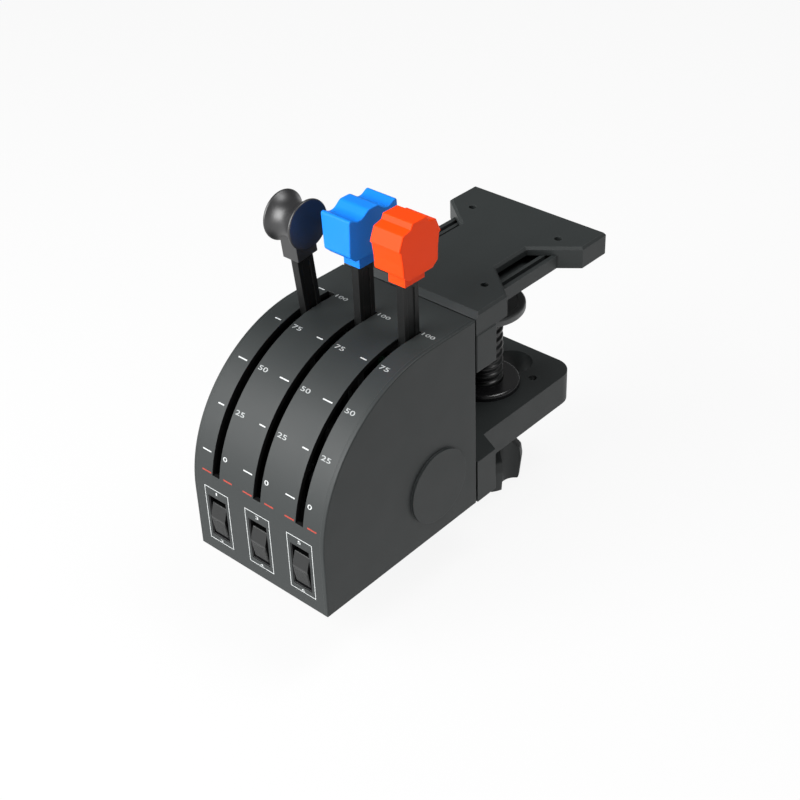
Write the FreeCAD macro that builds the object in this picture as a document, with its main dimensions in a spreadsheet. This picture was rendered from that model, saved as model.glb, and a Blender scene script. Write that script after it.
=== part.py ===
import FreeCAD, Part
import math
import os
import re
import Sketcher

# Desk-clamped throttle quadrant with three levers and three rocker switches.
# Frame: origin on the underside of the clamp's upper bracket, on the clamp screw's axis.
# X runs across the quadrant, +Y points away from the user, +Z points up.  Sizes are in millimetres.

V = FreeCAD.Vector
doc = FreeCAD.newDocument("throttle_quadrant")
sheet = doc.addObject("Spreadsheet::Sheet", "dim")

SIZES = [
    # housing
    ("housing_width", 110), ("housing_depth", 137), ("housing_height", 138.5),
    ("curve_radius", 95), ("wall", 3), ("cover_thickness", 3), ("cover_edge", 1),
    ("lip_thickness", 1.6), ("lip_depth", 3), ("base_thickness", 3),
    ("disc_radius", 25), ("disc_height", 1.8),
    ("post_radius", 4), ("post_height", 14), ("case_screw_radius", 1.5), ("case_head_radius", 2.8),
    ("leg_screw_offset", 30),
    ("data_socket_width", 12), ("data_socket_height", 11), ("data_socket_wall", 1.2),
    ("board_width", 64), ("board_height", 44), ("board_thickness", 1.6), ("board_stand_off", 7),
    # levers
    ("lever_margin", 16.8), ("pivot_from_front", 99.5), ("pivot_above_base", 37.5),
    ("arm_thickness", 5.4), ("arm_width", 12.8), ("arm_reach", 163), ("arm_groove_width", 6.4),
    ("arm_groove_depth", 0.7), ("slot_play", 0.45), ("slot_low", 58.6), ("slot_back", 107.3),
    ("shaft_radius", 4), ("running_clearance", 0.05), ("hub_radius", 11), ("hub_length", 14),
    ("washer_radius", 7.5), ("washer_thickness", 2), ("washer_play", 0.1),
    ("lever_lean", 6.2), ("lever_travel", 73),
    ("gear_module", 1), ("pinion_teeth", 16), ("sector_teeth", 48), ("gear_width", 6), ("backlash", 0.2),
    ("sensor_direction", 45), ("sensor_gap", 1.5), ("bracket_sheet", 1.5),
    ("sensor_radius", 8.5), ("sensor_depth", 8), ("sensor_shaft_radius", 3),
    # knobs
    ("socket_depth", 14), ("socket_play", 0.1),
    ("neck_thickness", 12.6), ("neck_front", 8.6), ("neck_rear", 8.2), ("neck_drop", 23.5),
    ("spool_radius", 15.7), ("spool_width", 22), ("spool_dip", 7.3), ("spool_curve", 12.4), ("spool_rim", 1.4),
    ("spool_neck_rear", 7.4),
    ("wave_width", 22.8), ("wave_taper", 1.3), ("facet_width", 22.4), ("knob_edge", 0.7),
    # rocker switches
    ("window_width", 15.5), ("window_height", 30.8), ("window_low", 12.2), ("window_play", 0.15),
    ("bezel_wall", 0.6), ("bezel_set_back", 0.4), ("switch_depth", 13), ("switch_flange", 2),
    ("rocker_width", 12), ("rocker_height", 23.4), ("rocker_low", 13.8), ("rocker_crest", 1.2),
    ("rocker_pin_radius", 1.2), ("rocker_axis_depth", 6),
    # upper bracket
    ("seat_to_housing", 75), ("bracket_height", 15), ("plate_rise", 3.5), ("plate_thickness", 5.7),
    ("plate_half_rear", 56), ("plate_half_front", 54.5), ("plate_half_waist", 27.5),
    ("plate_rear_end", 60), ("plate_rear_taper", 32.9), ("waist_rear", 10.5), ("waist_front", 21.3),
    ("plate_front_taper", 43.7), ("plate_bevel", 1.6),
    ("frame_half", 43), ("frame_wall", 3), ("rib_thickness", 2.4), ("rib_offset", 35.5),
    ("leg_gap", 1.2), ("leg_pad_radius", 6), ("leg_depth", 20.5), ("leg_drop", 27),
    ("hole_spacing_across", 72), ("hole_spacing_along", 76), ("hole_row_rear", 33), ("plate_hole_radius", 2.65),
    ("plate_boss_radius", 5.6), ("bracket_screw_radius", 2), ("bracket_screw_length", 14),
    # lower jaw and clamp screw
    ("jaw_height", 32), ("jaw_leg_depth", 20), ("jaw_arm_half", 39), ("jaw_arm_end", 54.5),
    ("jaw_corner", 15), ("jaw_arm_thickness", 23), ("jaw_skin", 4), ("jaw_wall", 3),
    ("thread_radius", 13.4), ("thread_clearance", 0.08), ("seat_clearance", 0.05),
    ("nut_wall", 2), ("nut_flange_radius", 25.3),
    ("nut_flange_height", 4.5), ("spare_hole_radius", 14.5), ("spare_hole_back", 32),
    ("small_hole_radius", 3), ("small_hole_offset", 23.6), ("small_hole_back", 24.7),
    ("pad_radius", 28.5), ("pad_rim", 5), ("pad_recess", 0.9), ("pad_height", 6), ("pad_gap", 29),
    ("pad_bearing_radius", 6), ("pad_bearing_depth", 3.4),
    ("knob_radius", 27.5), ("knob_height", 36), ("knob_gap", 19), ("knob_lobes", 6), ("knob_scallop", 10.5),
]
for row, (alias, value) in enumerate(SIZES, 1):
    sheet.set(f"A{row}", alias.replace("_", " "))
    sheet.set(f"B{row}", str(value))
    sheet.setAlias(f"B{row}", alias)
doc.recompute()
NAMES = {alias for alias, value in SIZES}


def tied(text):
    """Give each named size in an expression its place in the sheet."""
    return re.sub(r"[a-z_]+", lambda word: "dim." + word.group() if word.group() in NAMES else word.group(),
                  str(text))


def num(text):
    return float(sheet.evalExpression(tied(text)))


def bind(target, where, text):
    if any(name in str(text) for name in NAMES):
        target.setExpression(where, tied(text))


# Places that several pieces share, each as an expression of the sizes.
half = "(housing_width/2)"
inner_half = "(housing_width/2 - cover_thickness)"
rear = "(-seat_to_housing)"
front = "(-seat_to_housing - housing_depth)"
top = "(bracket_height - plate_rise)"
base = "(bracket_height - plate_rise - housing_height)"
pivot_y = f"({front} + pivot_from_front)"
pivot_z = f"({base} + pivot_above_base)"
lever_spacing = "(housing_width/2 - cover_thickness - lever_margin)"
gear_distance = "(gear_module*(pinion_teeth + sector_teeth)/2)"
sensor_y = f"({pivot_y} - {gear_distance}*cos(sensor_direction))"
sensor_z = f"({pivot_z} - {gear_distance}*sin(sensor_direction))"
jaw_top = f"({base} + jaw_height)"
web_low = "(bracket_height - plate_thickness)"


def new_body(label, where=("0", "0", "0"), lean="0"):
    body = doc.addObject("PartDesign::Body", label)
    body.Label = label
    body.Placement = FreeCAD.Placement(V(*[num(w) for w in where]), FreeCAD.Rotation(V(1, 0, 0), num(lean)))
    for axis, text in zip("xyz", where):
        bind(body, f"Placement.Base.{axis}", text)
    if num(lean):
        bind(body, "Placement.Rotation.Angle", f"{lean}*1 deg")
    return body


def new_sketch(body, name, plane, height="0"):
    """Sketch on one of the body's own planes; height is measured along the plane's normal."""
    sketch = body.newObject("Sketcher::SketchObject", name)
    origin_plane = [f for f in body.Origin.OriginFeatures if f.Role == plane + "_Plane"][0]
    sketch.AttachmentSupport = (origin_plane, [""])
    sketch.MapMode = "FlatFace"
    sketch.AttachmentOffset = FreeCAD.Placement(V(0, 0, num(height)), FreeCAD.Rotation())
    bind(sketch, "AttachmentOffset.Base.z", height)
    return sketch


def hold(sketch, kind, item, point, value, text):
    index = sketch.addConstraint(Sketcher.Constraint(kind, -1, 1, item, point, value))
    bind(sketch, f"Constraints[{index}]", text)


def outline(sketch, corners):
    """Closed outline through corners given as (u, v) or (u, v, rounding radius)."""
    count = len(corners)
    at = [V(num(c[0]), num(c[1]), 0) for c in corners]
    rounding = [num(c[2]) if len(c) > 2 else 0 for c in corners]
    arrive, leave, centres = [], [], {}
    for i in range(count):
        back, ahead = (at[i - 1] - at[i]).normalize(), (at[(i + 1) % count] - at[i]).normalize()
        if rounding[i]:
            half_turn = back.getAngle(ahead) / 2
            run = rounding[i] / math.tan(half_turn)
            centres[i] = at[i] + (back + ahead).normalize() * (rounding[i] / math.sin(half_turn))
            arrive.append(at[i] + back * run)
            leave.append(at[i] + ahead * run)
        else:
            arrive.append(at[i])
            leave.append(at[i])
    lines = [sketch.addGeometry(Part.LineSegment(leave[i], arrive[(i + 1) % count]), False)
             for i in range(count)]
    for i in range(count):
        before, after = lines[i - 1], lines[i]
        if i in centres:
            start, end, centre = arrive[i], leave[i], centres[i]
            turn_left = (start - centre).cross(end - centre).z > 0
            first, last = (start, end) if turn_left else (end, start)
            angles = [math.atan2(p.y - centre.y, p.x - centre.x) for p in (first, last)]
            if angles[1] < angles[0]:
                angles[1] += 2 * math.pi
            arc = sketch.addGeometry(Part.ArcOfCircle(Part.Circle(centre, V(0, 0, 1), rounding[i]),
                                                      angles[0], angles[1]), False)
            near, far = (1, 2) if turn_left else (2, 1)
            sketch.addConstraint(Sketcher.Constraint("Tangent", before, 2, arc, near))
            sketch.addConstraint(Sketcher.Constraint("Tangent", arc, far, after, 1))
            index = sketch.addConstraint(Sketcher.Constraint("Radius", arc, rounding[i]))
            bind(sketch, f"Constraints[{index}]", corners[i][2])
            item = sketch.addGeometry(Part.Point(at[i]), True)
            sketch.addConstraint(Sketcher.Constraint("PointOnObject", item, 1, before))
            sketch.addConstraint(Sketcher.Constraint("PointOnObject", item, 1, after))
            point = 1
        else:
            sketch.addConstraint(Sketcher.Constraint("Coincident", before, 2, after, 1))
            item, point = after, 1
        hold(sketch, "DistanceX", item, point, at[i].x, corners[i][0])
        hold(sketch, "DistanceY", item, point, at[i].y, corners[i][1])


def ring(sketch, u, v, radius):
    item = sketch.addGeometry(Part.Circle(V(num(u), num(v), 0), V(0, 0, 1), num(radius)), False)
    index = sketch.addConstraint(Sketcher.Constraint("Radius", item, num(radius)))
    bind(sketch, f"Constraints[{index}]", radius)
    hold(sketch, "DistanceX", item, 3, num(u), u)
    hold(sketch, "DistanceY", item, 3, num(v), v)


def slab(body, name, plane, shapes, low, high, cut=False):
    """Pad (or cut) shapes between two coordinates along the plane's axis.

    A shape is a list of corners for an outline or a tuple (u, v, radius) for a circle.
    The XZ plane's normal is -Y, so its coordinates are turned round here.
    """
    if plane == "XZ":
        low, high = f"-({high})", f"-({low})"
    sketch = new_sketch(body, name + "_outline", plane, high if cut else low)
    for shape in shapes:
        if isinstance(shape, list):
            outline(sketch, shape)
        else:
            ring(sketch, *shape)
    feature = body.newObject("PartDesign::Pocket" if cut else "PartDesign::Pad", name)
    feature.Profile = sketch
    feature.Length = num(f"({high}) - ({low})")
    bind(feature, "Length", f"({high}) - ({low})")
    return feature


def turned(body, name, plane, corners, axis, cut=False):
    """Revolve an outline once round the sketch's horizontal (H_Axis) or vertical (V_Axis) axis."""
    sketch = new_sketch(body, name + "_outline", plane)
    outline(sketch, corners)
    feature = body.newObject("PartDesign::Groove" if cut else "PartDesign::Revolution", name)
    feature.Profile = sketch
    feature.ReferenceAxis = (sketch, [axis])
    feature.Angle = 360
    return feature


def repeat_round(body, name, feature, axis, angle, count):
    """Copies of a feature about an axis of its sketch; angle spans the first to the last copy."""
    pattern = body.newObject("PartDesign::PolarPattern", name)
    pattern.Originals = [feature]
    pattern.Axis = (feature.Profile[0], [axis])
    body.Tip = pattern
    pattern.Angle = angle
    pattern.Occurrences = count
    return pattern


def dress(body, name, kind, size, chosen):
    """Chamfer (Size) or fillet (Radius) the edges of the body so far that chosen(edge) picks out."""
    doc.recompute()
    tip = body.Tip
    feature = body.newObject("PartDesign::" + kind, name)
    feature.Base = (tip, [f"Edge{i}" for i, edge in enumerate(tip.Shape.Edges, 1) if chosen(edge)])
    where = "Size" if kind == "Chamfer" else "Radius"
    setattr(feature, where, num(size))
    bind(feature, where, size)


def lies_at(edge, axis, value):
    """Whether a whole edge has one coordinate, given as an expression."""
    place = getattr(edge.BoundBox, axis + "Min"), getattr(edge.BoundBox, axis + "Max")
    return max(abs(p - num(value)) for p in place) < 1e-4


def box(u_low, u_high, v_low, v_high, *corner):
    return [(u_low, v_low, *corner), (u_high, v_low, *corner),
            (u_high, v_high, *corner), (u_low, v_high, *corner)]


# ---------------------------------------------------------------- housing
def side_profile(inset):
    """Outline of the housing's side view, moved inward by inset."""
    inset = f"({inset})"
    return [(f"{front} + {inset}", f"{base} + {inset}"),
            (f"{front} + {inset}", f"{top} - {inset}", f"curve_radius - {inset}"),
            (f"{rear} - {inset}", f"{top} - {inset}"),
            (f"{rear} - {inset}", f"{base} + {inset}")]


slot_half = "(arm_thickness/2 + slot_play)"
window_top = f"({base} + window_low + window_height)"
lever_x = [f"(-{lever_spacing})", "0", lever_spacing]
post_x = f"({inner_half} - lip_depth - post_radius - 0.5)"
post_front = f"({front} + wall + post_radius)"
post_rear = f"({rear} - wall - post_radius)"
posts = [(f"-{lever_spacing}/2", post_front), (f"{lever_spacing}/2", post_front),
         (f"-{post_x}", post_rear), (post_x, post_rear)]
base_top = f"({base} + base_thickness)"

shell = new_body("housing_shell")
slab(shell, "wrap", "YZ", [[
    (front, base), (front, top, "curve_radius"), (rear, top), (rear, base),
    (f"{rear} - wall", base), (f"{rear} - wall", f"{top} - wall"),
    (f"{front} + wall", f"{top} - wall", "curve_radius - wall"), (f"{front} + wall", base)]],
    f"-{inner_half}", inner_half)
slab(shell, "posts", "XY", [(u, v, "post_radius") for u, v in posts], base_top, f"{base_top} + post_height")
slab(shell, "post_webs", "XY",
     [box(f"{u} - post_radius/2", f"{u} + post_radius/2", f"{front} + wall/2", v) for u, v in posts[:2]] +
     [box(f"{u} - post_radius/2", f"{u} + post_radius/2", v, f"{rear} - wall/2") for u, v in posts[2:]],
     base_top, f"{base_top} + post_height")
slab(shell, "post_holes", "XY", [(u, v, "case_screw_radius") for u, v in posts],
     base_top, f"{base_top} + post_height - 2", cut=True)
slab(shell, "lever_slots", "XY",
     [box(f"{x} - {slot_half}", f"{x} + {slot_half}", f"{front} - 1", f"{front} + slot_back") for x in lever_x],
     f"{base} + slot_low", f"{top} + 1", cut=True)
slab(shell, "switch_windows", "XZ",
     [box(f"{x} - window_width/2", f"{x} + window_width/2", f"{base} + window_low", window_top, "0.8")
      for x in lever_x], f"{front} - 1", f"{front} + wall + 1", cut=True)
leg_screw_z = "(-leg_drop/2)"
jaw_screw_z = f"({jaw_top} - jaw_height/2)"
leg_screws = [(f"{s}leg_screw_offset", z) for z in (leg_screw_z, jaw_screw_z) for s in ("-", "")]
slab(shell, "bracket_screw_holes", "XZ", [(u, v, "bracket_screw_radius + running_clearance")
                                         for u, v in leg_screws], f"{rear} - wall - 1", f"{rear} + 1", cut=True)
socket_z = f"({base} + housing_height/2)"
slab(shell, "socket_hole", "XZ", [box("-data_socket_width/2", "data_socket_width/2",
                                      f"{socket_z} - data_socket_height/2", f"{socket_z} + data_socket_height/2")],
     f"{rear} - wall - 1", f"{rear} + 1", cut=True)


def side_cover(label, side):
    """One closed side of the housing, with the round boss over the lever pivot."""
    def span(near, far):
        return (near, far) if side > 0 else (f"-({far})", f"-({near})")

    cover = new_body(label)
    slab(cover, "plate", "YZ", [side_profile("0")], *span(inner_half, half))
    dress(cover, "soft_edges", "Fillet", "cover_edge", lambda edge: lies_at(edge, "X", f"{side}*{half}"))
    slab(cover, "lip", "YZ", [side_profile("wall + window_play"),
                              side_profile("wall + window_play + lip_thickness")],
         *span(f"{inner_half} - lip_depth", inner_half))
    slab(cover, "pivot_disc", "YZ", [(pivot_y, pivot_z, "disc_radius")], *span(half, f"{half} + disc_height"))
    slab(cover, "shaft_boss", "YZ", [(pivot_y, pivot_z, "washer_radius")],
         *span(boss_face, inner_half))
    slab(cover, "shaft_seat", "YZ", [(pivot_y, pivot_z, "shaft_radius + running_clearance/2")],
         *span(boss_face, inner_half), cut=True)
    return cover


boss_face = f"({lever_spacing} + hub_length/2 + washer_thickness + washer_play)"
left_cover = side_cover("left_side_cover", -1)
right_cover = side_cover("right_side_cover", 1)

floor_plate = new_body("base_plate")
floor_low, floor_high = f"{front} + wall + window_play", f"{rear} - wall - window_play"
slab(floor_plate, "floor", "XY", [box(f"-{inner_half}", inner_half, floor_low, floor_high)], base, base_top)
slab(floor_plate, "screw_holes", "XY", [(u, v, "case_screw_radius + 0.2") for u, v in posts],
     f"{base} - 1", f"{base_top} + 1", cut=True)
slab(floor_plate, "head_seats", "XY", [(u, v, "case_head_radius + 0.2") for u, v in posts],
     f"{base} - 1", f"{base} + base_thickness/2", cut=True)

case_screws = new_body("case_screws")
slab(case_screws, "heads", "XY", [(u, v, "case_head_radius") for u, v in posts],
     f"{base} + 0.2", f"{base} + base_thickness/2")
slab(case_screws, "shanks", "XY", [(u, v, "case_screw_radius - 0.05") for u, v in posts],
     f"{base} + base_thickness/2", f"{base_top} + post_height - 4")

# ---------------------------------------------------------------- lever shaft
shaft = new_body("lever_shaft")
slab(shaft, "rod", "YZ", [(pivot_y, pivot_z, "shaft_radius")], f"-({inner_half} - 0.1)", f"{inner_half} - 0.1")

washers = new_body("shaft_spacers")
gaps = [(f"-({boss_face})", f"-({lever_spacing} + hub_length/2 + washer_play)"),
        (f"-({lever_spacing} - hub_length/2 - washer_play)", "-(hub_length/2 + washer_play)"),
        ("hub_length/2 + washer_play", f"{lever_spacing} - hub_length/2 - washer_play"),
        (f"{lever_spacing} + hub_length/2 + washer_play", boss_face)]
for number, (low, high) in enumerate(gaps, 1):
    slab(washers, f"spacer_{number}", "YZ", [(pivot_y, pivot_z, "washer_radius"),
                                            (pivot_y, pivot_z, "shaft_radius + running_clearance/2")], low, high)

# ---------------------------------------------------------------- levers
PRESSURE = math.radians(20)


def tooth(teeth, angle):
    """Corners of one involute tooth, centred on an angle in degrees, from below its root to its tip."""
    module = num("gear_module")
    pitch, tip, root = module * teeth / 2, module * (teeth / 2 + 0.95), module * (teeth / 2 - 1.25)
    base_circle = pitch * math.cos(PRESSURE)
    half_tooth = math.pi / (2 * teeth) - num("backlash") / (2 * pitch) / 2
    at_pitch = math.tan(PRESSURE) - PRESSURE
    flank = [(root - module, half_tooth + at_pitch)]
    for step in range(4):
        radius = max(root, base_circle * 1.0001) + (tip - max(root, base_circle * 1.0001)) * step / 3
        roll = math.acos(base_circle / radius)
        flank.append((radius, half_tooth + at_pitch - (math.tan(roll) - roll)))
    turn = math.radians(angle)
    both = [(r, -a) for r, a in flank] + [(r, a) for r, a in reversed(flank)]
    return [(f"{r * math.cos(turn + a):.6f}", f"{r * math.sin(turn + a):.6f}") for r, a in both]


def toothed(body, name, teeth, first, count, width):
    """Involute teeth on a root disc; the first tooth stands at an angle and the others follow it."""
    slab(body, f"{name}_disc", "YZ", [("0", "0", f"gear_module*({teeth}/2 - 1.25)")],
         f"-{width}/2", f"{width}/2")
    one = slab(body, f"{name}_tooth", "YZ", [tooth(num(teeth), first)], f"-{width}/2", f"{width}/2")
    return repeat_round(body, f"{name}_teeth", one, "N_Axis", 360 if count == num(teeth) else
                        (count - 1) * 360 / num(teeth), count)


def lever(number, lean):
    """Lever arm with its hub and toothed sector, drawn upright about the shaft."""
    body = new_body(f"lever_arm_{number}", (lever_x[number - 1], pivot_y, pivot_z), lean)
    # The teeth meet the sensor's pinion over the whole travel, with two to spare at each end.
    step = 360 / num("sector_teeth")
    meet = 180 + num("sensor_direction")
    count = int(math.ceil(num("lever_travel") / step)) + 5
    last = meet + 2 * step
    first = last - (count - 1) * step
    toothed(body, "sector", "sector_teeth", first, count, "gear_width")
    spread = [math.radians(last + step / 2 + (360 - count * step) * k / 4) for k in range(5)]
    away = [("0", "0")] + [(f"gear_module*sector_teeth*{math.cos(a):.6f}",
                            f"gear_module*sector_teeth*{math.sin(a):.6f}") for a in spread]
    slab(body, "sector_sides", "YZ", [away], "-gear_width", "gear_width", cut=True)
    arm_top = "arm_reach - neck_drop + socket_depth - socket_play"
    slab(body, "arm", "YZ", [box("-arm_width/2", "arm_width/2", "0", arm_top, "0.8")],
         "-arm_thickness/2", "arm_thickness/2")
    groove = box("-arm_groove_width/2", "arm_groove_width/2", "hub_radius + 8",
                 "arm_reach - neck_drop - 4", "arm_groove_width/2 - 0.2")
    slab(body, "groove_left", "YZ", [groove], "-arm_thickness/2 - 1", "-arm_thickness/2 + arm_groove_depth",
         cut=True)
    slab(body, "groove_right", "YZ", [groove], "arm_thickness/2 - arm_groove_depth", "arm_thickness/2 + 1",
         cut=True)
    slab(body, "hub", "YZ", [("0", "0", "hub_radius")], "-hub_length/2", "hub_length/2")
    slab(body, "shaft_bore", "YZ", [("0", "0", "shaft_radius + running_clearance")],
         "-hub_length/2 - 1", "hub_length/2 + 1", cut=True)
    return body


def pinion(number, lean):
    """Small gear on a sensor's shaft; a gap between two teeth faces the lever's sector."""
    body = new_body(f"sensor_pinion_{number}", (lever_x[number - 1], sensor_y, sensor_z),
                    f"-({lean})*sector_teeth/pinion_teeth")
    teeth = num("pinion_teeth")
    toothed(body, "pinion", "pinion_teeth", num("sensor_direction") + 180 / teeth, int(teeth),
            "(gear_width + 1)")
    slab(body, "shaft_hole", "YZ", [("0", "0", "sensor_shaft_radius + 0.02")],
         "-gear_width", "gear_width", cut=True)
    return body


def sensor(number):
    """Turning sensor: a round can behind the bracket's upright, with a threaded bush."""
    x = lever_x[number - 1]
    body = new_body(f"angle_sensor_{number}")
    can = f"{x} + gear_width/2 + sensor_gap + bracket_sheet"
    slab(body, "can", "YZ", [(sensor_y, sensor_z, "sensor_radius")], can, f"{can} + sensor_depth")
    slab(body, "bush", "YZ", [(sensor_y, sensor_z, "sensor_shaft_radius + 0.9")],
         f"{can} - bracket_sheet - 0.4", f"{can}")
    slab(body, "shaft_hole", "YZ", [(sensor_y, sensor_z, "sensor_shaft_radius + running_clearance")],
         f"{can} - bracket_sheet - 1", f"{can} + sensor_depth - 1.5", cut=True)
    slab(body, "terminals", "YZ", [box(f"{sensor_y} - 4 + {k}*3.2", f"{sensor_y} - 3 + {k}*3.2",
                                       f"{sensor_z} + sensor_radius - 1", f"{sensor_z} + sensor_radius + 3")
                                   for k in range(3)], f"{can} + 1", f"{can} + 1.8")
    return body


def stub(number):
    """The sensor's turning shaft, which carries the pinion."""
    x = lever_x[number - 1]
    body = new_body(f"sensor_shaft_{number}")
    can = f"{x} + gear_width/2 + sensor_gap + bracket_sheet"
    slab(body, "rod", "YZ", [(sensor_y, sensor_z, "sensor_shaft_radius")],
         f"{x} - gear_width/2 - 0.5", f"{can} + sensor_depth - 1.8")
    return body


leans = ["lever_lean", "0", "0"]
for number in (1, 2, 3):
    lever(number, leans[number - 1])
    pinion(number, leans[number - 1])
    stub(number)
    sensor(number)

carrier = new_body("sensor_bracket")
sheet_low, sheet_high = base_top, f"{base_top} + bracket_sheet"
slab(carrier, "floor", "XY", [box(f"{lever_x[0]} + gear_width/2 + sensor_gap",
                                  f"{lever_x[2]} + gear_width/2 + sensor_gap + bracket_sheet",
                                  f"{sensor_y} - sensor_radius - 2", f"{sensor_y} + sensor_radius + 2")],
     sheet_low, sheet_high)
for number, x in enumerate(lever_x, 1):
    upright = (f"{x} + gear_width/2 + sensor_gap", f"{x} + gear_width/2 + sensor_gap + bracket_sheet")
    slab(carrier, f"upright_{number}", "YZ", [[
        (f"{sensor_y} - sensor_radius - 2", sheet_low), (f"{sensor_y} + sensor_radius + 2", sheet_low),
        (f"{sensor_y} + sensor_radius + 1", f"{sensor_z} + sensor_radius", "6"),
        (f"{sensor_y} - sensor_radius - 1", f"{sensor_z} + sensor_radius", "6")]], *upright)
    slab(carrier, f"bush_hole_{number}", "YZ", [(sensor_y, sensor_z, "sensor_shaft_radius + 1")],
         upright[0] + " - 1", upright[1] + " + 1", cut=True)

# ---------------------------------------------------------------- knobs
def knob_body(label, number):
    """Empty body placed at the top of a lever, tilted with it."""
    lean = leans[number - 1]
    return new_body(label, (lever_x[number - 1], f"{pivot_y} - arm_reach*sin({lean})",
                            f"{pivot_z} + arm_reach*cos({lean})"), lean)


def neck(body, up_to, rear_end="neck_rear"):
    """Block under the knob that the arm's end fits into."""
    slab(body, "neck", "YZ", [box("-neck_front", rear_end, "-neck_drop", up_to)],
         "-neck_thickness/2", "neck_thickness/2")
    slab(body, "arm_socket", "XY", [box("-arm_thickness/2 - socket_play", "arm_thickness/2 + socket_play",
                                        "-arm_width/2 - socket_play", "arm_width/2 + socket_play")],
         "-neck_drop - 1", "-neck_drop + socket_depth", cut=True)


spool = knob_body("spool_knob", 1)
turned(spool, "spool", "XZ", [
    ("-spool_width/2", "0"), ("-spool_width/2", "spool_radius", "0.8"),
    ("-spool_width/2 + spool_rim", "spool_radius", "1"), ("0", "spool_dip", "spool_curve"),
    ("spool_width/2 - spool_rim", "spool_radius", "1"), ("spool_width/2", "spool_radius", "0.8"),
    ("spool_width/2", "0")], "H_Axis")
neck(spool, "-4", "spool_neck_rear")

wave = knob_body("wave_knob", 2)
slab(wave, "side_view", "YZ", [[
    ("-15", "-14.7", "1.5"), ("15.5", "-14.7", "1.5"), ("20", "-10", "3"), ("20.6", "6", "4"),
    ("19.8", "14.2", "1.8"), ("11.2", "9.6", "6"), ("4", "15.1", "4"), ("-4", "15.1", "4"),
    ("-11.2", "9.8", "7"), ("-20", "14.2", "1.5"), ("-20", "-10", "2.5")]], "-wave_width/2", "wave_width/2")
for side, sign in (("left", "-"), ("right", "")):
    slab(wave, f"{side}_draft", "XZ", [[
        (f"{sign}wave_width/2", "14.5"), (f"{sign}(wave_width/2 + 4)", "14.5"),
        (f"{sign}(wave_width/2 + 4)", "-15"), (f"{sign}(wave_width/2 - wave_taper)", "-15")]],
        "-24", "24", cut=True)
dress(wave, "soft_edges", "Fillet", "knob_edge",
      lambda edge: edge.BoundBox.XMin*edge.BoundBox.XMax > 0)
neck(wave, "-10")

facet = knob_body("facet_knob", 3)
right_side = [("10", "-16.6", "2"), ("14.8", "-13", "1.5"), ("15.2", "-4.5", "4"), ("16.4", "3.6"),
              ("17.8", "4.6", "0.6"), ("14", "13.4", "1.2"), ("7.6", "15"), ("6", "18.2", "0.8")]
left_side = [("-" + c[0], *c[1:]) for c in reversed(right_side)]
slab(facet, "side_view", "YZ", [right_side + left_side], "-facet_width/2", "facet_width/2")
dress(facet, "soft_edges", "Fillet", "knob_edge",
      lambda edge: lies_at(edge, "X", "facet_width/2") or lies_at(edge, "X", "-facet_width/2"))
neck(facet, "-10")

# ---------------------------------------------------------------- rocker switches
switch_axis_y = f"({front} + rocker_axis_depth)"
switch_axis_z = f"({base} + rocker_low + rocker_height/2)"
opening_half = "(window_width/2 - window_play - bezel_wall)"
for number, x in enumerate(lever_x, 1):
    switch = new_body(f"switch_body_{number}")
    window = ("window_width/2 - window_play", f"{base} + window_low + window_play",
              f"{window_top} - window_play")
    slab(switch, "bezel", "XZ", [box(f"{x} - ({window[0]})", f"{x} + {window[0]}", window[1], window[2],
                                     "0.8 - window_play")],
         f"{front} + bezel_set_back", f"{front} + wall + 0.5")
    slab(switch, "flange", "XZ", [box(f"{x} - window_width/2 - 2", f"{x} + window_width/2 + 2",
                                      f"{base} + window_low - 2", f"{window_top} + 0.5", "0.4")],
         f"{front} + wall", f"{front} + wall + switch_flange")
    slab(switch, "case", "XZ", [box(f"{x} - window_width/2 - 1", f"{x} + window_width/2 + 1",
                                    f"{base} + window_low - 1", f"{window_top} + 0.5")],
         f"{front} + wall", f"{front} + wall + switch_depth")
    slab(switch, "well", "XZ", [box(f"{x} - {opening_half}", f"{x} + {opening_half}",
                                    f"{window[1]} + bezel_wall", f"{window[2]} - bezel_wall", "0.4")],
         f"{front} - 1", f"{front} + wall + switch_depth - 1.5", cut=True)
    slab(switch, "pin_hole", "YZ", [(switch_axis_y, switch_axis_z, "rocker_pin_radius + running_clearance")],
         f"{x} - window_width/2 - 2", f"{x} + window_width/2 + 2", cut=True)
    slab(switch, "terminals", "XZ", [box(f"{x} - 3", f"{x} + 3", f"{z} - 0.4", f"{z} + 0.4")
                                     for z in (f"{switch_axis_z} - 7", switch_axis_z, f"{switch_axis_z} + 7")],
         f"{front} + wall + switch_depth", f"{front} + wall + switch_depth + 6")

    rocker = new_body(f"rocker_{number}", (x, switch_axis_y, switch_axis_z))
    tall = "rocker_height/2"
    slab(rocker, "button", "YZ", [[
        ("-rocker_axis_depth + 1.6", tall, "0.6"), ("-rocker_axis_depth - rocker_crest", "2.5", "2"),
        ("-rocker_axis_depth + 1", f"-{tall}", "0.6"), ("1", f"-{tall} + 3"), ("2.5", "-5"), ("2.5", "5"),
        ("1", f"{tall} - 3")]], "-rocker_width/2", "rocker_width/2")
    slab(rocker, "pin", "YZ", [("0", "0", "rocker_pin_radius")],
         "-window_width/2 - 0.6", "window_width/2 + 0.6")

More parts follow.
